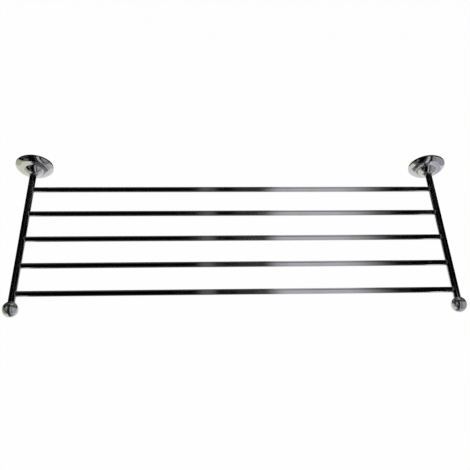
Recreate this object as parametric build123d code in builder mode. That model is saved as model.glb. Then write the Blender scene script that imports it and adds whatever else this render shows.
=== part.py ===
# Wall-mounted towel shelf: five cross bars between two side arms, with domed wall rosettes and
# ball finials.
#
# Frame: X runs along the cross bars, the wall is the plane Y = 0 and the shelf stands out from it
# towards -Y, and Z is up. The origin is the centre of the four wall screws, level with the arms.
# A reach is a distance from the wall, measured towards -Y. All lengths are in millimetres.
from build123d import *
from math import sqrt
import os

# Shelf
arm_spacing = 600.0         # between the two arms' axes
bar_count = 5
bar_pitch = 42.0            # from one bar's axis to the next
first_bar_reach = 44.0      # wall to the axis of the bar nearest to it

# Side arm: a drawn tube
arm_dia = 10.0
arm_wall = 1.2

# Cross bar: a solid rod with turned-down ends
bar_dia = 8.0
spigot_dia = 5.0
spigot_entry = 1.5          # how far the spigot stands inside the arm's bore
spigot_chamfer = 0.4

# Ball finial
ball_dia = 21.0
seat_margin = 0.3           # how much wider the ball's flat seat is than the arm
ball_hole_spare = 1.0       # drilled depth past the stud's end

# Fasteners on the arm's axis
thread_dia = 5.0
insert_length = 9.0
insert_chamfer = 0.4
insert_margin = 1.5         # bare bore between the last bar's spigot and the front insert
insert_spare = 1.0          # thread left over in an insert behind the stud's or bolt's tip
stud_chamfer = 0.6
bolt_head_dia = 9.2
bolt_head_recess = 0.2      # below the plate's back face
bolt_key_size = 3.0         # hexagon socket, across flats
bolt_key_depth = 1.6

# Rosette cover
cover_dia = 55.0
cover_wall = 1.2
skirt_height = 2.6          # straight part of the rim, from the wall
tier_reach = 9.0            # wall to the top of the lower tier, where the dome starts
tier_bulge = 1.8            # how far the lower tier swells past a straight slope
dome_radius = 15.5
dome_height = 18.0          # wall to the pole that the dome would have without the arm's hole
mouth_chamfer = 0.4         # where the arm comes out
neck_gap = 0.8              # between the wall plate's boss and the neck of the cover

# Wall plate
plate_margin = 4.3          # between the plate's edge and the inside of the cover's skirt
plate_thickness = 3.0
plate_edge_chamfer = 0.6
boss_dia = 16.0
boss_reach = 9.0            # wall to the boss's mouth
boss_edge_chamfer = 0.6
socket_floor_reach = 4.0    # wall to the floor of the arm's socket
screw_hole_dia = 5.0
screw_head_dia = 8.4
countersink_angle = 90.0

# Grub screw in the cover's neck, from beneath
grub_dia = 3.0
grub_reach = 12.6           # wall to the grub screw's axis
grub_length = 4.0
grub_key_size = 1.5
grub_key_depth = 1.5
grub_point_chamfer = 0.5

# Fits
braze_gap = 0.05            # radial, filled with solder on the real joint
thread_gap = 0.05           # radial, between a plain thread cylinder and its hole
slide_gap = 0.1             # radial, between the cover's neck or grub screw and the arm
overrun = 1.0               # how far a cutting tool runs past the surface

# Derived sizes
half_span = arm_spacing / 2
arm_radius = arm_dia / 2
bore_radius = arm_radius - arm_wall
bar_radius = bar_dia / 2
ball_radius = ball_dia / 2
thread_radius = thread_dia / 2
plate_dia = cover_dia - 2 * (cover_wall + plate_margin)
screw_spacing = (plate_dia + boss_dia) / 2      # between a plate's two wall-screw holes
bar_reaches = [first_bar_reach + bar_pitch * index for index in range(bar_count)]
stud_engagement = insert_length - insert_spare
seat_reach = bar_reaches[-1] + spigot_dia / 2 + insert_margin + insert_length
seat_radius = arm_radius + seat_margin
ball_centre_reach = seat_reach + sqrt(ball_radius**2 - seat_radius**2)
sides = {"left": -half_span, "right": half_span}


def facing_out(x, reach):
    """A plane parallel to the wall at a given reach, with its normal pointing away from the wall."""
    return Plane(origin=(x, -reach, 0), x_dir=(1, 0, 0), z_dir=(0, -1, 0))


def turning_plane(x):
    """The plane of a turned profile: its first axis is the radius, its second the reach."""
    return Plane(origin=(x, 0, 0), x_dir=(1, 0, 0), z_dir=(0, 0, -1))


def arm_axis(x):
    return Axis((x, 0, 0), (0, -1, 0))


def save(piece, label):
    piece.part.label = label
    export_step(piece.part, f"parts/{label}.step")


# Wall plate: a turned disc with a socket boss for the arm and two countersunk wall-screw holes
def make_wall_plate(side, x):
    plate_radius = plate_dia / 2
    boss_radius = boss_dia / 2
    socket_radius = arm_radius + braze_gap
    clearance_radius = thread_radius + thread_gap
    head_seat_radius = bolt_head_dia / 2 + thread_gap
    head_seat_reach = bolt_head_recess + head_seat_radius - clearance_radius
    with BuildPart() as plate:
        with BuildSketch(turning_plane(x)):
            with BuildLine():
                Polyline(
                    (head_seat_radius, 0),
                    (plate_radius, 0),
                    (plate_radius, plate_thickness - plate_edge_chamfer),
                    (plate_radius - plate_edge_chamfer, plate_thickness),
                    (boss_radius, plate_thickness),
                    (boss_radius, boss_reach - boss_edge_chamfer),
                    (boss_radius - boss_edge_chamfer, boss_reach),
                    (socket_radius, boss_reach),
                    (socket_radius, socket_floor_reach),
                    (clearance_radius, socket_floor_reach),
                    (clearance_radius, head_seat_reach),
                    (head_seat_radius, bolt_head_recess),
                    close=True,
                )
            make_face()
        revolve(axis=arm_axis(x))
        with Locations(facing_out(x, plate_thickness)):
            with Locations((0, screw_spacing / 2), (0, -screw_spacing / 2)):
                CounterSinkHole(
                    radius=screw_hole_dia / 2,
                    counter_sink_radius=screw_head_dia / 2,
                    counter_sink_angle=countersink_angle,
                )
    save(plate, f"wall_plate_{side}")


# Plate bolt: countersunk from behind the plate, with a hexagon socket
def make_plate_bolt(side, x):
    head_radius = bolt_head_dia / 2
    head_height = head_radius - thread_radius
    tip_reach = socket_floor_reach + stud_engagement
    with BuildPart() as bolt:
        with BuildSketch(turning_plane(x)):
            with BuildLine():
                Polyline(
                    (0, bolt_head_recess),
                    (head_radius, bolt_head_recess),
                    (thread_radius, bolt_head_recess + head_height),
                    (thread_radius, tip_reach - stud_chamfer),
                    (thread_radius - stud_chamfer, tip_reach),
                    (0, tip_reach),
                    close=True,
                )
            make_face()
        revolve(axis=arm_axis(x))
        with BuildSketch(facing_out(x, bolt_head_recess)):
            RegularPolygon(bolt_key_size / 2, 6, major_radius=False)
        extrude(amount=bolt_key_depth, mode=Mode.SUBTRACT)
    save(bolt, f"plate_bolt_{side}")


# Threaded insert: a bush brazed into one end of the arm
def make_insert(label, x, start_reach):
    with BuildPart() as insert:
        with BuildSketch(facing_out(x, start_reach)):
            Circle(bore_radius - braze_gap)
            Circle(thread_radius + thread_gap, mode=Mode.SUBTRACT)
        extrude(amount=insert_length)
        outer_edges = insert.edges().filter_by(GeomType.CIRCLE).group_by(SortBy.RADIUS)[-1]
        chamfer(outer_edges, insert_chamfer)
    save(insert, label)


# Side arm: a tube from the plate's socket to the ball, drilled on its inner side for the spigots
def make_arm(side, x):
    inward = -1 if x > 0 else 1
    with BuildPart() as arm:
        with BuildSketch(facing_out(x, socket_floor_reach)):
            Circle(arm_radius)
            Circle(bore_radius, mode=Mode.SUBTRACT)
        extrude(amount=seat_reach - socket_floor_reach)
        with BuildSketch(Plane(origin=(x, 0, 0), x_dir=(0, 1, 0), z_dir=(inward, 0, 0))):
            with Locations(*[(-reach, 0) for reach in bar_reaches]):
                Circle(spigot_dia / 2 + braze_gap)
        extrude(amount=arm_radius + overrun, mode=Mode.SUBTRACT)
    save(arm, f"side_arm_{side}")


# Cross bar: a rod coped to the round of both arms, with a spigot at each end
def make_cross_bar(number, reach):
    across = Plane(origin=(0, -reach, 0), x_dir=(0, 1, 0), z_dir=(1, 0, 0))
    with BuildPart() as bar:
        with BuildSketch(across):
            Circle(bar_radius)
        extrude(amount=half_span, both=True)
        for x in sides.values():
            with BuildSketch(facing_out(x, reach - bar_radius - overrun)):
                Circle(arm_radius + braze_gap)
            extrude(amount=bar_dia + 2 * overrun, mode=Mode.SUBTRACT)
        with BuildSketch(across):
            Circle(spigot_dia / 2)
        extrude(amount=half_span - bore_radius + spigot_entry, both=True)
        spigot_ends = bar.edges().filter_by(GeomType.CIRCLE).sort_by(Axis.X)
        chamfer([spigot_ends[0], spigot_ends[-1]], spigot_chamfer)
    save(bar, f"cross_bar_{number}")


# Finial: a turned ball with a flat seat for the arm and a blind tapped hole
def make_finial(side, x):
    with BuildPart() as finial:
        with BuildSketch(turning_plane(x)):
            with BuildLine():
                Polyline((0, ball_centre_reach + ball_radius), (0, seat_reach), (seat_radius, seat_reach))
                ThreePointArc(
                    (seat_radius, seat_reach),
                    (ball_radius, ball_centre_reach),
                    (0, ball_centre_reach + ball_radius),
                )
            make_face()
        revolve(axis=arm_axis(x))
        with BuildSketch(facing_out(x, seat_reach)):
            Circle(thread_radius + thread_gap)
        extrude(amount=stud_engagement + ball_hole_spare, mode=Mode.SUBTRACT)
    save(finial, f"finial_{side}")


# Finial stud: half in the front insert, half in the ball
def make_finial_stud(side, x):
    with BuildPart() as stud:
        with BuildSketch(facing_out(x, seat_reach)):
            Circle(thread_radius)
        extrude(amount=stud_engagement, both=True)
        chamfer(stud.edges().filter_by(GeomType.CIRCLE), stud_chamfer)
    save(stud, f"finial_stud_{side}")


# Rosette cover: a hollow two-tier dome that stands on the wall and runs on the arm in a thick neck
def make_cover(side, x):
    rim_radius = cover_dia / 2
    mouth_radius = arm_radius + slide_gap
    neck_reach = boss_reach + neck_gap
    inner_radius = dome_radius - cover_wall
    dome_centre_reach = dome_height - dome_radius

    def on_dome(radius, reach):
        """The point of the dome's profile at a reach."""
        return (sqrt(radius**2 - (reach - dome_centre_reach) ** 2), reach)

    def middle_of_dome(radius, one, other):
        width = (one[0] + other[0]) / 2
        return (width, dome_centre_reach + sqrt(radius**2 - width**2))

    mouth_width = mouth_radius + mouth_chamfer
    outer_mouth = (mouth_width, dome_centre_reach + sqrt(dome_radius**2 - mouth_width**2))
    outer_foot = on_dome(dome_radius, tier_reach)
    inner_top = on_dome(inner_radius, neck_reach)
    inner_foot = on_dome(inner_radius, tier_reach - cover_wall)
    with BuildPart() as cover:
        with BuildSketch(turning_plane(x)):
            with BuildLine():
                Line((rim_radius, 0), (rim_radius, skirt_height))
                SagittaArc((rim_radius, skirt_height), outer_foot, -tier_bulge)
                ThreePointArc(outer_foot, middle_of_dome(dome_radius, outer_foot, outer_mouth), outer_mouth)
                Polyline(
                    outer_mouth,
                    (mouth_radius, outer_mouth[1] - mouth_chamfer),
                    (mouth_radius, neck_reach),
                    inner_top,
                )
                ThreePointArc(inner_top, middle_of_dome(inner_radius, inner_top, inner_foot), inner_foot)
                SagittaArc(inner_foot, (rim_radius - cover_wall, skirt_height), tier_bulge)
                Polyline(
                    (rim_radius - cover_wall, skirt_height),
                    (rim_radius - cover_wall, 0),
                    (rim_radius, 0),
                )
            make_face()
        revolve(axis=arm_axis(x))
        with BuildSketch(Plane(origin=(x, -grub_reach, 0), x_dir=(1, 0, 0), z_dir=(0, 0, -1))):
            Circle(grub_dia / 2 + thread_gap)
        extrude(amount=dome_radius, mode=Mode.SUBTRACT)
    save(cover, f"rosette_cover_{side}")


# Cover screw: a grub screw with a hexagon socket, just clear of the arm when it is slackened
def make_cover_screw(side, x):
    tip_height = -(arm_radius + slide_gap)
    with BuildPart() as screw:
        with BuildSketch(Plane(origin=(x, -grub_reach, tip_height), x_dir=(1, 0, 0), z_dir=(0, 0, -1))):
            Circle(grub_dia / 2)
        extrude(amount=grub_length)
        tip_edge = screw.edges().filter_by(GeomType.CIRCLE).sort_by(Axis.Z)[-1]
        chamfer(tip_edge, grub_point_chamfer)
        key_plane = Plane(origin=(x, -grub_reach, tip_height - grub_length), x_dir=(1, 0, 0), z_dir=(0, 0, 1))
        with BuildSketch(key_plane):
            RegularPolygon(grub_key_size / 2, 6, major_radius=False)
        extrude(amount=grub_key_depth, mode=Mode.SUBTRACT)
    save(screw, f"cover_screw_{side}")


os.makedirs("parts", exist_ok=True)

for side, x in sides.items():
    make_wall_plate(side, x)
    make_plate_bolt(side, x)
    make_insert(f"rear_insert_{side}", x, socket_floor_reach)
    make_arm(side, x)
    make_insert(f"front_insert_{side}", x, seat_reach - insert_length)
    make_finial_stud(side, x)
    make_finial(side, x)
    make_cover(side, x)
    make_cover_screw(side, x)

for number, reach in enumerate(bar_reaches, start=1):
    make_cross_bar(number, reach)
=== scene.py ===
from math import cos, pi, radians, sin, sqrt

import bmesh
import bpy
from mathutils import Matrix, Vector


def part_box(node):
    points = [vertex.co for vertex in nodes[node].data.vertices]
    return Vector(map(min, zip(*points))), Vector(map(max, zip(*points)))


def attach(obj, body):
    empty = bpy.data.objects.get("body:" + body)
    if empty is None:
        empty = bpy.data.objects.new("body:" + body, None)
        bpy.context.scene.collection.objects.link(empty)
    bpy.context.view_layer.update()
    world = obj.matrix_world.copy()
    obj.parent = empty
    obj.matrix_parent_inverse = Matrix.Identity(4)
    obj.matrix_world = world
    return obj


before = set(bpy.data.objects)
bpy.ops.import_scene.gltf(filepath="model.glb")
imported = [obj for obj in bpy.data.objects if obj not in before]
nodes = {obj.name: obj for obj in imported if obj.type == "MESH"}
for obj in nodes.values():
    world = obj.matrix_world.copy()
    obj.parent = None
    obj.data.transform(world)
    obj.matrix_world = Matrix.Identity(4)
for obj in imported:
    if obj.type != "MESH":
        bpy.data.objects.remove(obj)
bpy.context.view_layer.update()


def middle_reach(name):
    """How far a node's middle is from the wall."""
    low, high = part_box(name)
    return -(low.y + high.y) / 2


sides = {"left": -1, "right": 1}

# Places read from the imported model, in metres
bar_numbers = range(1, 1 + sum(name.startswith("cross_bar_") for name in nodes))
bar_reaches = [middle_reach(f"cross_bar_{number}") for number in bar_numbers]
bar_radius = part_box("cross_bar_1")[1].z
arm_low, arm_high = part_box("side_arm_right")
arm_radius = arm_high.z
half_span = arm_high.x - arm_radius
arm_end = -arm_low.y
cover_depth = -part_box("rosette_cover_left")[0].y
grub_reach = middle_reach("cover_screw_left")

# Camera: above the shelf, in front of it and a little left of its middle. It looks down and a little
# to the right, and is rolled.
camera_place = Vector((-0.0434, -0.5561, 0.7388))
camera_pitch = radians(59.49)
camera_yaw = radians(-5.52)
camera_roll = radians(4.44)
sensor_width = 36.0
lens_length = 45.957

# Studio
floor_height = -3.0
floor_size = 80.0
floor_glow_share = 0.88     # the rest of the floor's white is lit by the lamps, and takes the shadow
floor_colour = (0.97, 0.97, 0.97, 1.0)
floor_fade = (3.0, 10.0)     # from here to here the floor's own white takes over from the lamps
fill_strength = 0.68
white = (1.0, 1.0, 1.0, 1.0)
# Each lamp: place, size in metres, power in watts
lamps = {
    "key": ((-5.2, -2.3, 3.8), 2.9, 113.0),
    "side": ((4.1, -1.6, 2.7), 2.5, 45.0),
    "front": ((3.6, -4.5, 0.5), 2.2, 23.0),
    "back_left": ((-4.0, 4.3, 2.5), 2.5, 49.0),
    "back_right": ((4.0, 4.3, 2.5), 2.5, 49.0),
}

# Tent of dark cloth round the shelf, along X, which only the metal sees. Angles are measured from
# the horizon behind the shelf, over the top, to below the horizon in front of it.
tent_radius = 2.55
tent_centre_y = -0.12
tent_steps = 40
tent_dark = 0.001
tent_colour = (0.955, 0.94, 1.0, 1.0)      # a little lavender in what the bars reflect
hood_angles = (radians(-50), radians(184))
hood_half_length = 2.8
apron_angles = (radians(184), radians(238))
apron_ends = (-1.0, 1.2)
apron_levels = (0.05, 0.28)      # near the horizon, and at its lower edge
apron_depths = (1.4, 1.9)        # below the shelf: it pales from here to here
skirt_angles = (radians(186), radians(268))
skirt_start = 1.42
skirt_colours = {"left": (0.97, 1.0, 0.76, 1.0), "right": (0.66, 0.64, 0.76, 1.0)}
band_level = 0.74
band_gap = (tent_centre_y + 0.93, tent_centre_y + 1.65)    # the arms reflect this stretch, which stays dark
band_gap_edge = 0.12
pale_band = (0.265, 0.40, 0.72, 1.06)    # along X: starts, is full, is full to, ends
# Dim bands: low end, high end and level
glints = ((-0.06, -0.01, 0.16), (0.14, 0.25, 0.045))
glint_edge = 0.035
window_level = 0.16
window_half_width = 1.08
window_low = 0.30
window_high = 1.5
window_edge = 0.18
# Wings: the hood's ends, paler than its middle. The right one reaches from overhead to the horizon in
# front, and the left one is low in front. Overhead, a paler strip crosses both of them.
wing_levels = {"left": 0.17, "right": 0.38}
wing_start = 1.42
wing_edge = 0.12
wing_front = (tent_centre_y, tent_centre_y + 0.9)   # the wings fade out from the top towards the back
left_wing_high = 1.1        # the left one stays below this height
overhead_reach = (tent_centre_y - 0.45, tent_centre_y + 0.8)
overhead_edge = 0.2
overhead_level = 0.55

# Cards past the tent's two ends: pale in front of the shelf, dark behind it. The left one is pale only
# below the horizon.
card_distance = 3.35
card_low = -2.1
card_high = 4.2
card_half_depth = 4.8
card_dark_from = 0.90
card_edge = 0.24
card_colours = {"left": (0.62, 0.66, 0.52, 1.0), "right": (0.46, 0.46, 0.50, 1.0)}

# Noise: more detail breaks its patches up finer
noise_roughness = 0.55
line_detail = 1.0
soft_detail = 2.0
patch_detail = 3.0
cloud_detail = 4.0

# Each kind of chromed piece: which way its fine lines run, and how rough its clean plating is
chrome_kinds = {
    "bars": ("x", 0.045),
    "arms": ("y", 0.045),
    "covers": ("turned", 0.075),
    "balls": ("turned", 0.2),
}

# Chrome plate: sizes of its marks in metres. Limits are the noise levels between which a mark sets in,
# and each roughness is what a full mark adds.
chrome_colour = (0.55, 0.556, 0.554, 1.0)
haze_colour = (0.50, 0.50, 0.485, 1.0)
worn_colour = (0.60, 0.585, 0.55, 1.0)
# The grime colour is dirt at the joints, and also painted shade where the pieces meet
grime_and_shade_colour = (0.10, 0.095, 0.085, 1.0)
haze_strength = 0.6
grime_and_shade_strength = 0.8
haze_limits = (0.42, 0.72)
wear_limits = (0.3, 0.65)
grime_and_shade_limits = (0.3, 0.7)
haze_rough = 0.06
line_rough = 0.03
drop_rough = 0.10
wear_rough = 0.12
grime_rough = 0.30
line_width = 0.0003
line_length = 0.05
line_depth = 0.4e-6
ring_width = 0.00035
ripple_size = 0.004
ripple_depth = 4e-6
relief_depth = 4e-6
haze_size = 0.03
wear_size = 0.004
grime_and_shade_size = 0.0015
grime_and_shade_width = 0.0012
edge_width = 0.0005
edge_turns = (0.03, 0.25)       # 1 less the cosine of an edge's turn, at no wear and at full wear
edge_samples = 4
drop_spacing = 0.016
drop_radius_shares = (0.10, 0.20)       # of the spacing
drop_rim_share = 0.025
drop_share = 0.3        # of the places hold a drop

# Steel and brass inside. Each metal: its colour, its dull colour, how rough and how metallic it is.
# Sizes are in metres, and limits and roughness are as for chrome.
screw_steel = ((0.46, 0.47, 0.48, 1.0), (0.36, 0.365, 0.37, 1.0), 0.24, 0.8)
metals = {
    "plated": ((0.60, 0.62, 0.64, 1.0), (0.50, 0.51, 0.52, 1.0), 0.32, 0.6),
    "bolt": screw_steel,
    "grub_screw": screw_steel,
    "brass": ((0.80, 0.60, 0.29, 1.0), (0.66, 0.47, 0.22, 1.0), 0.24, 0.9),
}
bright_steel = (0.72, 0.73, 0.74, 1.0)
bright_share = 0.7
cloud_limits = (0.35, 0.68)
rub_limits = (0.25, 0.6)
cloud_rough = 0.12
ring_rough = 0.08
grain_rough = 0.05
rub_smooth = 0.12       # what a rubbed edge takes off the roughness
cloud_size = 0.006
grain_size = 0.0004
ring_depth = 3e-6
grain_depth = 2e-6
# Each thread: its axis, and its pitch in metres
threads = {"bolt": ("y", 0.0008), "grub_screw": ("z", 0.0005)}
thread_share = 0.6      # its depth, as a share of its pitch
shank_limit = 0.0026    # what lies further from a bolt's axis is its head

# Braze beads: their size in metres, the steps round a bar and the parts of the fillet's curve
bead_size = 0.00035
bead_steps = 48
bead_parts = 4


def new_material(name):
    """An empty node material and its output node."""
    material = bpy.data.materials.new(name)
    material.use_nodes = True
    tree = material.node_tree
    tree.nodes.clear()
    output = tree.nodes.new("ShaderNodeOutputMaterial")
    return material, tree, output


def add(tree, kind, **settings):
    """Adds a node, sets its properties, and sets its input sockets by name."""
    node = tree.nodes.new(kind)
    inputs = settings.pop("inputs", {})
    for key, value in settings.items():
        setattr(node, key, value)
    for key, value in inputs.items():
        if hasattr(value, "node"):
            tree.links.new(value, node.inputs[key])
        else:
            node.inputs[key].default_value = value
    return node


def math(tree, operation, a, b=0.0, clamp=False):
    """A sum, product or other operation on two fields or numbers."""
    node = tree.nodes.new("ShaderNodeMath")
    node.operation = operation
    node.use_clamp = clamp
    for socket, value in zip(node.inputs, (a, b)):
        if hasattr(value, "node"):
            tree.links.new(value, socket)
        else:
            socket.default_value = value
    return node.outputs[0]


def weighted(tree, *pairs):
    """The sum of each field times its weight."""
    total = 0.0
    for field, weight in pairs:
        total = math(tree, "ADD", math(tree, "MULTIPLY", field, weight), total)
    return total


def mixed(tree, share, plain, other):
    """The first colour where share is 0, the second where it is 1."""
    node = add(tree, "ShaderNodeMix", data_type="RGBA")
    # The node's sockets for colour are inputs 6 and 7 and output 2
    for socket, value in ((node.inputs[0], share), (node.inputs[6], plain), (node.inputs[7], other)):
        if hasattr(value, "node"):
            tree.links.new(value, socket)
        else:
            socket.default_value = value
    return node.outputs[2]


def ramp(tree, value, low, high):
    """0 below low, 1 above high, smooth between."""
    node = add(
        tree,
        "ShaderNodeMapRange",
        interpolation_type="SMOOTHSTEP",
        inputs={"Value": value, "From Min": low, "From Max": high},
    )
    return node.outputs["Result"]


def between(tree, value, low, high, edge):
    """1 from low to high, with a soft edge outside."""
    rise = ramp(tree, value, low - edge, low)
    fall = ramp(tree, value, high, high + edge)
    return math(tree, "SUBTRACT", rise, fall, clamp=True)


def seen_share(tree):
    """1 for the rays that should meet plain white: those of the camera, of gloss and of glass."""
    path = add(tree, "ShaderNodeLightPath").outputs
    either = math(tree, "MAXIMUM", path["Is Camera Ray"], path["Is Glossy Ray"])
    return math(tree, "MAXIMUM", either, path["Is Transmission Ray"])


def make_camera():
    """The photo's view of the shelf."""
    data = bpy.data.cameras.new("camera")
    data.sensor_width = sensor_width
    data.lens = lens_length
    camera = bpy.data.objects.new("camera", data)
    turn = (
        Matrix.Rotation(camera_yaw, 4, "Z")
        @ Matrix.Rotation(-camera_pitch, 4, "X")
        @ Matrix.Rotation(-camera_roll, 4, "Y")
        @ Matrix.Rotation(pi / 2, 4, "X")
    )
    camera.matrix_world = Matrix.Translation(camera_place) @ turn
    bpy.context.scene.collection.objects.link(camera)
    bpy.context.scene.camera = camera


def make_world():
    """White to the camera and in the metal, and a plain level of light elsewhere."""
    world = bpy.data.worlds.new("studio")
    world.use_nodes = True
    tree = world.node_tree
    tree.nodes.clear()
    output = tree.nodes.new("ShaderNodeOutputWorld")
    glow = add(tree, "ShaderNodeBackground", inputs={"Color": white, "Strength": 1.0})
    fill = add(tree, "ShaderNodeBackground", inputs={"Color": white, "Strength": fill_strength})
    mix = add(tree, "ShaderNodeMixShader")
    tree.links.new(seen_share(tree), mix.inputs[0])
    tree.links.new(fill.outputs[0], mix.inputs[1])
    tree.links.new(glow.outputs[0], mix.inputs[2])
    tree.links.new(mix.outputs[0], output.inputs[0])
    bpy.context.scene.world = world


def make_lamps():
    """Large soft lamps that look at the middle of the shelf."""
    aim = Vector((0.0, -bar_reaches[len(bar_reaches) // 2], 0.0))
    for name, (place, size, power) in lamps.items():
        data = bpy.data.lights.new(f"lamp_{name}", "AREA")
        data.shape = "DISK"
        data.size = size
        data.energy = power
        lamp = bpy.data.objects.new(f"lamp_{name}", data)
        lamp.location = place
        lamp.rotation_euler = (aim - Vector(place)).to_track_quat("-Z", "Y").to_euler()
        bpy.context.scene.collection.objects.link(lamp)


def make_floor():
    """Pale and matt, but mostly plain white to the camera and in the metal, and all white far away."""
    mesh = bpy.data.meshes.new("floor")
    half = floor_size / 2
    corners = [
        (-half, -half, floor_height),
        (half, -half, floor_height),
        (half, half, floor_height),
        (-half, half, floor_height),
    ]
    mesh.from_pydata(corners, [], [(0, 1, 2, 3)])
    floor = bpy.data.objects.new("floor", mesh)
    bpy.context.scene.collection.objects.link(floor)
    material, tree, output = new_material("pale floor")
    matt = add(tree, "ShaderNodeBsdfDiffuse", inputs={"Color": floor_colour})
    glow = add(tree, "ShaderNodeEmission", inputs={"Color": white, "Strength": 1.0})
    mix = add(tree, "ShaderNodeMixShader")
    place = add(tree, "ShaderNodeTexCoord").outputs["Object"]
    away = add(tree, "ShaderNodeVectorMath", operation="LENGTH", inputs={0: place}).outputs["Value"]
    share = math(tree, "MULTIPLY", ramp(tree, away, *floor_fade), 1 - floor_glow_share)
    share = math(tree, "ADD", share, floor_glow_share)
    share = math(tree, "MULTIPLY", share, seen_share(tree))
    tree.links.new(share, mix.inputs[0])
    tree.links.new(matt.outputs[0], mix.inputs[1])
    tree.links.new(glow.outputs[0], mix.inputs[2])
    tree.links.new(mix.outputs[0], output.inputs[0])
    mesh.materials.append(material)


def only_in_gloss(stand):
    """Shows a cloth or card in the metal alone: the camera, the lamps and the floor don't see it."""
    stand.visible_camera = False
    stand.visible_diffuse = False
    stand.visible_shadow = False
    stand.visible_transmission = False


def make_tent_cloth(name, angles, ends):
    """A stretch of the tent's round wall, from one angle to another and between two ends along X."""
    mesh = bpy.data.meshes.new(name)
    build = bmesh.new()
    rows = []
    for step in range(tent_steps + 1):
        angle = angles[0] + (angles[1] - angles[0]) * step / tent_steps
        y = tent_centre_y + tent_radius * cos(angle)
        z = tent_radius * sin(angle)
        rows.append([build.verts.new((x, y, z)) for x in ends])
    for one, other in zip(rows, rows[1:]):
        build.faces.new((one[0], one[1], other[1], other[0]))
    build.to_mesh(mesh)
    build.free()
    cloth = bpy.data.objects.new(name, mesh)
    bpy.context.scene.collection.objects.link(cloth)
    only_in_gloss(cloth)
    return cloth


def tent_fields(tree):
    """Position, and the pale band over the shelf's right half with the dim bands left of it."""
    place = add(tree, "ShaderNodeTexCoord").outputs["Object"]
    x, y, z = add(tree, "ShaderNodeSeparateXYZ", inputs={0: place}).outputs
    start, full, last, end = pale_band
    band = math(tree, "SUBTRACT", ramp(tree, x, start, full), ramp(tree, x, last, end), clamp=True)
    kept = math(tree, "SUBTRACT", 1.0, between(tree, y, *band_gap, band_gap_edge))
    bands = [(math(tree, "MULTIPLY", band, kept), band_level)]
    bands += [(between(tree, x, low, high, glint_edge), level) for low, high, level in glints]
    return x, y, z, weighted(tree, *bands)


def glow_with(tree, output, level):
    """Ends a cloth's material with light of that level."""
    glow = add(tree, "ShaderNodeEmission", inputs={"Color": tent_colour, "Strength": level})
    tree.links.new(glow.outputs[0], output.inputs[0])


def make_hood():
    """The tent's back, top and front: dark but for the bands, a dim window behind, wings and a strip."""
    hood = make_tent_cloth("tent_hood", hood_angles, (-hood_half_length, hood_half_length))
    material, tree, output = new_material("tent hood cloth")
    x, y, z, bands = tent_fields(tree)
    behind = math(tree, "GREATER_THAN", y, tent_centre_y)
    wide = between(tree, x, -window_half_width, window_half_width, window_edge)
    tall = between(tree, z, window_low, window_high, window_edge)
    window = math(tree, "MULTIPLY", math(tree, "MULTIPLY", wide, tall), behind)
    right_wing = ramp(tree, x, wing_start, wing_start + wing_edge)
    left_wing = ramp(tree, math(tree, "MULTIPLY", x, -1.0), wing_start, wing_start + wing_edge)
    aside = math(tree, "MAXIMUM", right_wing, left_wing)
    low = math(tree, "SUBTRACT", 1.0, ramp(tree, z, left_wing_high, left_wing_high + 2 * wing_edge))
    left_wing = math(tree, "MULTIPLY", left_wing, low)
    wing = weighted(tree, (right_wing, wing_levels["right"]), (left_wing, wing_levels["left"]))
    front = math(tree, "SUBTRACT", 1.0, ramp(tree, y, *wing_front))
    overhead = math(tree, "MULTIPLY", aside, between(tree, y, *overhead_reach, overhead_edge))
    level = math(tree, "MAXIMUM", bands, math(tree, "MULTIPLY", window, window_level))
    level = math(tree, "MAXIMUM", level, math(tree, "MULTIPLY", wing, front))
    level = math(tree, "MAXIMUM", level, math(tree, "MULTIPLY", overhead, overhead_level))
    glow_with(tree, output, math(tree, "MAXIMUM", level, tent_dark))
    hood.data.materials.append(material)


def make_apron():
    """The tent's front below the horizon: narrow, and paler the lower it hangs."""
    apron = make_tent_cloth("tent_apron", apron_angles, apron_ends)
    material, tree, output = new_material("tent apron cloth")
    z, bands = tent_fields(tree)[2:]
    low = ramp(tree, math(tree, "MULTIPLY", z, -1.0), *apron_depths)
    high_level, low_level = apron_levels
    level = math(tree, "ADD", math(tree, "MULTIPLY", low, low_level - high_level), high_level)
    glow_with(tree, output, math(tree, "MAXIMUM", bands, level))
    apron.data.materials.append(material)


def make_skirts():
    """Pale tinted cloths beside the apron."""
    for side, sign in sides.items():
        ends = sorted((sign * skirt_start, sign * hood_half_length))
        skirt = make_tent_cloth(f"tent_skirt_{side}", skirt_angles, ends)
        material, tree, output = new_material(f"tent skirt {side}")
        glow = add(tree, "ShaderNodeEmission", inputs={"Color": skirt_colours[side], "Strength": 1.0})
        tree.links.new(glow.outputs[0], output.inputs[0])
        skirt.data.materials.append(material)


def make_cards():
    """Upright cards that close the view past the tent's ends."""
    for side, sign in sides.items():
        mesh = bpy.data.meshes.new(f"card_{side}")
        x = sign * card_distance
        corners = [
            (x, -card_half_depth, card_low),
            (x, card_half_depth, card_low),
            (x, card_half_depth, card_high),
            (x, -card_half_depth, card_high),
        ]
        mesh.from_pydata(corners, [], [(0, 1, 2, 3)])
        card = bpy.data.objects.new(f"card_{side}", mesh)
        bpy.context.scene.collection.objects.link(card)
        material, tree, output = new_material(f"card {side}")
        place = add(tree, "ShaderNodeTexCoord").outputs["Object"]
        y, z = add(tree, "ShaderNodeSeparateXYZ", inputs={0: place}).outputs[1:]
        dark = ramp(tree, y, card_dark_from, card_dark_from + card_edge)
        if side == "left":
            dark = math(tree, "MAXIMUM", dark, ramp(tree, z, -card_edge, card_edge))
        level = math(tree, "MAXIMUM", math(tree, "SUBTRACT", 1.0, dark), tent_dark)
        glow = add(tree, "ShaderNodeEmission", inputs={"Color": card_colours[side], "Strength": level})
        tree.links.new(glow.outputs[0], output.inputs[0])
        mesh.materials.append(material)
        only_in_gloss(card)


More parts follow.
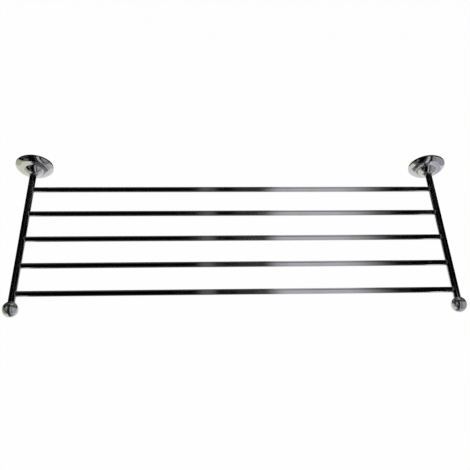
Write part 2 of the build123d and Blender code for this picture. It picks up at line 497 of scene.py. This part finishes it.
def smooth_noise(tree, place, size, detail=soft_detail):
    """Cloudy noise from 0 to 1, with patches of about that size in the units of the place."""
    inputs = {"Vector": place, "Scale": 1 / size, "Detail": detail, "Roughness": noise_roughness}
    return add(tree, "ShaderNodeTexNoise", inputs=inputs).outputs["Fac"]


def patches(tree, place, size, detail, limits):
    """Noise with most of its greys taken out: 0 below the first limit, 1 above the second."""
    return ramp(tree, smooth_noise(tree, place, size, detail), *limits)


def stretched(tree, place, sizes):
    """Position measured in a length of its own along each axis."""
    inputs = {"Vector": place, "Scale": [1 / size for size in sizes]}
    return add(tree, "ShaderNodeMapping", inputs=inputs).outputs["Vector"]


def round_arm(tree, place):
    """Distance from the nearer arm's axis, angle round it, and reach out from the wall."""
    x, y, z = add(tree, "ShaderNodeSeparateXYZ", inputs={0: place}).outputs
    aside = math(tree, "SUBTRACT", math(tree, "ABSOLUTE", x), half_span)
    squares = math(tree, "ADD", math(tree, "MULTIPLY", aside, aside), math(tree, "MULTIPLY", z, z))
    distance = math(tree, "SQRT", squares)
    angle = math(tree, "ARCTAN2", z, aside)
    return distance, angle, math(tree, "MULTIPLY", y, -1.0)


def turned_lines(tree, distance, angle, reach):
    """Fine rings left by turning and polishing on a lathe, with slow changes round each ring."""
    inputs = {
        "X": math(tree, "DIVIDE", distance, ring_width),
        "Y": math(tree, "DIVIDE", reach, ring_width),
        "Z": angle,
    }
    rings = add(tree, "ShaderNodeCombineXYZ", inputs=inputs).outputs["Vector"]
    return smooth_noise(tree, rings, 1.0, line_detail)


def drawn_lines(tree, place, along):
    """Fine lines left by drawing and polishing along a tube or rod."""
    sizes = [line_width] * 3
    sizes["xyz".index(along)] = line_length
    return smooth_noise(tree, stretched(tree, place, sizes), 1.0, line_detail)


def edge_share(tree):
    """1 along rounded-over edges, 0 on open faces."""
    bevel = add(tree, "ShaderNodeBevel", samples=edge_samples, inputs={"Radius": edge_width})
    soft = bevel.outputs["Normal"]
    sharp = add(tree, "ShaderNodeNewGeometry").outputs["Normal"]
    facing = add(tree, "ShaderNodeVectorMath", operation="DOT_PRODUCT", inputs={0: soft, 1: sharp})
    turned = math(tree, "SUBTRACT", 1.0, facing.outputs["Value"])
    return ramp(tree, turned, *edge_turns)


def water_marks(tree, place):
    """Rims of a few dried drops."""
    cells = add(tree, "ShaderNodeTexVoronoi", inputs={"Vector": place, "Scale": 1 / drop_spacing})
    chosen = add(tree, "ShaderNodeSeparateXYZ", inputs={0: cells.outputs["Color"]}).outputs
    small, large = drop_radius_shares
    radius = math(tree, "ADD", math(tree, "MULTIPLY", chosen[1], large - small), small)
    rim = math(tree, "SUBTRACT", cells.outputs["Distance"], radius)
    line = math(tree, "SUBTRACT", 1.0, ramp(tree, math(tree, "ABSOLUTE", rim), 0.0, drop_rim_share))
    return math(tree, "MULTIPLY", line, math(tree, "GREATER_THAN", chosen[0], 1 - drop_share))


def bumped(tree, height, depth):
    """A normal for a surface whose relief is that deep, in metres."""
    inputs = {"Height": height, "Distance": depth, "Strength": 1.0}
    return add(tree, "ShaderNodeBump", inputs=inputs).outputs[0]


def make_chrome(kind):
    """Plated and polished: clear reflections, faint haze, dried drops, dull grime and painted shade where
    pieces meet.
    """
    along, clean_rough = chrome_kinds[kind]
    material, tree, output = new_material(f"chrome on {kind}")
    place = add(tree, "ShaderNodeTexCoord").outputs["Object"]
    distance, angle, reach = round_arm(tree, place)
    if along == "turned":
        lines = turned_lines(tree, distance, angle, reach)
    else:
        lines = drawn_lines(tree, place, along)
    haze = patches(tree, place, haze_size, cloud_detail, haze_limits)
    ripple = smooth_noise(tree, place, ripple_size)
    drops = water_marks(tree, place)
    wear = patches(tree, place, wear_size, patch_detail, wear_limits)
    worn = math(tree, "MULTIPLY", edge_share(tree), wear)
    # Grime round each joint: dirt, and also painted shade where the pieces meet, darkening the chrome
    grime_and_shade_patches = patches(tree, place, grime_and_shade_size, patch_detail, grime_and_shade_limits)
    grime_and_shade = math(tree, "MULTIPLY", grime_and_shade_share(tree, kind, place, distance, reach), grime_and_shade_patches)
    colour = mixed(tree, math(tree, "MULTIPLY", haze, haze_strength), chrome_colour, haze_colour)
    colour = mixed(tree, worn, colour, worn_colour)
    colour = mixed(tree, math(tree, "MULTIPLY", grime_and_shade, grime_and_shade_strength), colour, grime_and_shade_colour)
    rough = weighted(
        tree,
        (haze, haze_rough),
        (lines, line_rough),
        (drops, drop_rough),
        (worn, wear_rough),
        (grime_and_shade, grime_rough),
    )
    relief = weighted(tree, (lines, line_depth / relief_depth), (ripple, ripple_depth / relief_depth))
    shader = add(
        tree,
        "ShaderNodeBsdfPrincipled",
        inputs={
            "Base Color": colour,
            "Metallic": 1.0,
            "Roughness": math(tree, "ADD", rough, clean_rough, clamp=True),
            "Normal": bumped(tree, relief, relief_depth),
        },
    )
    tree.links.new(shader.outputs[0], output.inputs[0])
    return material


def grime_and_shade_share(tree, kind, place, distance, reach):
    """1 where water dries and dust gathers on a kind of piece, and where its shade is painted: round its
    joints with its neighbours.
    """
    x = add(tree, "ShaderNodeSeparateXYZ", inputs={0: place}).outputs[0]
    aside = math(tree, "ABSOLUTE", x)
    if kind == "bars":
        end = half_span - arm_radius
        return ramp(tree, aside, end - grime_and_shade_width, end)
    if kind == "arms":
        half_width = grime_and_shade_width / 2
        mouth = between(tree, reach, cover_depth - grime_and_shade_width, cover_depth + half_width, half_width)
        ball = ramp(tree, reach, arm_end - grime_and_shade_width, arm_end)
        return math(tree, "MAXIMUM", mouth, ball)
    if kind == "covers":
        rim = math(tree, "SUBTRACT", 1.0, ramp(tree, reach, 0.0, grime_and_shade_width))
        mouth = ramp(tree, reach, cover_depth - grime_and_shade_width / 2, cover_depth)
        return math(tree, "MAXIMUM", rim, mouth)
    neck = math(tree, "SUBTRACT", 1.0, ramp(tree, distance, arm_radius, arm_radius + grime_and_shade_width))
    back = math(tree, "SUBTRACT", 1.0, ramp(tree, reach, arm_end, arm_end + 2 * grime_and_shade_width))
    return math(tree, "MULTIPLY", neck, back)


def thread_height(tree, first, second, along, pitch):
    """A screw thread's ridges: a triangle wave along the axis that climbs one pitch a turn."""
    angle = math(tree, "ARCTAN2", first, second)
    turns = math(tree, "ADD", math(tree, "DIVIDE", along, pitch), math(tree, "DIVIDE", angle, 2 * pi))
    return math(tree, "PINGPONG", math(tree, "MULTIPLY", turns, 2.0), 1.0)


def thread_relief(tree, kind, place, distance):
    """The height of a screw's thread, in metres: along y up to a bolt's head, or up a grub screw."""
    axis, pitch = threads[kind]
    x, y, z = add(tree, "ShaderNodeSeparateXYZ", inputs={0: place}).outputs
    aside = math(tree, "SUBTRACT", math(tree, "ABSOLUTE", x), half_span)
    if axis == "y":
        ridge = thread_height(tree, z, aside, y, pitch)
        shank = math(tree, "LESS_THAN", distance, shank_limit)
        ridge = math(tree, "MULTIPLY", ridge, shank)
    else:
        ridge = thread_height(tree, math(tree, "ADD", y, grub_reach), aside, z, pitch)
    return math(tree, "MULTIPLY", ridge, thread_share * pitch)


def make_turned_metal(kind):
    """Zinc-plated steel, plain steel or brass: turned rings, cloudy patches, bright edges, any thread."""
    colour, dull_colour, clean_rough, metallic = metals[kind]
    material, tree, output = new_material(f"{kind} metal")
    place = add(tree, "ShaderNodeTexCoord").outputs["Object"]
    distance, angle, reach = round_arm(tree, place)
    lines = turned_lines(tree, distance, angle, reach)
    clouds = patches(tree, place, cloud_size, cloud_detail, cloud_limits)
    grain = smooth_noise(tree, place, grain_size)
    rubbed = patches(tree, place, wear_size, patch_detail, rub_limits)
    rubbed = math(tree, "MULTIPLY", edge_share(tree), rubbed)
    shade = mixed(tree, clouds, colour, dull_colour)
    shade = mixed(tree, math(tree, "MULTIPLY", rubbed, bright_share), shade, bright_steel)
    rough = weighted(tree, (clouds, cloud_rough), (lines, ring_rough), (grain, grain_rough))
    rough = math(tree, "SUBTRACT", rough, math(tree, "MULTIPLY", rubbed, rub_smooth))
    relief = weighted(tree, (lines, ring_depth), (grain, grain_depth))
    if kind in threads:
        relief = math(tree, "ADD", relief, thread_relief(tree, kind, place, distance))
    shader = add(
        tree,
        "ShaderNodeBsdfPrincipled",
        inputs={
            "Base Color": shade,
            "Metallic": metallic,
            "Roughness": math(tree, "ADD", rough, clean_rough, clamp=True),
            "Normal": bumped(tree, relief, 1.0),
        },
    )
    tree.links.new(shader.outputs[0], output.inputs[0])
    return material


def finish(kinds, material):
    """Gives a finish to every node whose name starts with one of the kinds."""
    for name, node in nodes.items():
        if name.startswith(kinds):
            node.material_slots[0].material = material


def make_bead(number, side, material):
    """The thin fillet of braze, plated over, where a bar's coped end meets its arm."""
    sign = sides[side]
    reach = bar_reaches[number - 1]
    build = bmesh.new()
    rings = []
    for step in range(bead_steps):
        turn = 2 * pi * step / bead_steps
        corner = bead_point(turn, bar_radius, 0.0)
        foot = bead_point(turn, bar_radius, bead_size)
        top = bead_point(turn, bar_radius + bead_size, 0.0)
        section = [corner]
        for part in range(bead_parts + 1):
            share = part / bead_parts
            section.append((1 - share) ** 2 * foot + 2 * share * (1 - share) * corner + share ** 2 * top)
        section = [Vector((sign * point.x, point.y - reach, point.z)) for point in section]
        rings.append([build.verts.new(point) for point in section])
    for one, other in zip(rings, rings[1:] + rings[:1]):
        for here, there in zip(range(len(one)), list(range(1, len(one))) + [0]):
            build.faces.new((one[here], one[there], other[there], other[here]))
    bmesh.ops.recalc_face_normals(build, faces=build.faces)
    mesh = bpy.data.meshes.new(f"braze_bead_{number}_{side}")
    build.to_mesh(mesh)
    build.free()
    for polygon in mesh.polygons:
        polygon.use_smooth = True
    mesh.materials.append(material)
    bead = bpy.data.objects.new(mesh.name, mesh)
    bpy.context.scene.collection.objects.link(bead)
    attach(bead, "rack")


def bead_point(turn, radius, back):
    """A point round the bar at that radius, on the arm's surface or that far back from it."""
    y = radius * cos(turn)
    z = radius * sin(turn)
    return Vector((half_span - sqrt(arm_radius ** 2 - z ** 2) - back, y, z))


bpy.context.scene.view_settings.view_transform = "Standard"
make_camera()
make_world()
make_lamps()
make_floor()
make_hood()
make_apron()
make_skirts()
make_cards()
chrome_on_bars = make_chrome("bars")
finish("cross_bar", chrome_on_bars)
finish("side_arm", make_chrome("arms"))
finish("rosette_cover", make_chrome("covers"))
finish(("finial_left", "finial_right"), make_chrome("balls"))
finish("wall_plate", make_turned_metal("plated"))
finish(("plate_bolt", "finial_stud"), make_turned_metal("bolt"))
finish("cover_screw", make_turned_metal("grub_screw"))
finish(("rear_insert", "front_insert"), make_turned_metal("brass"))
for number in bar_numbers:
    for side in sides:
        make_bead(number, side, chrome_on_bars)
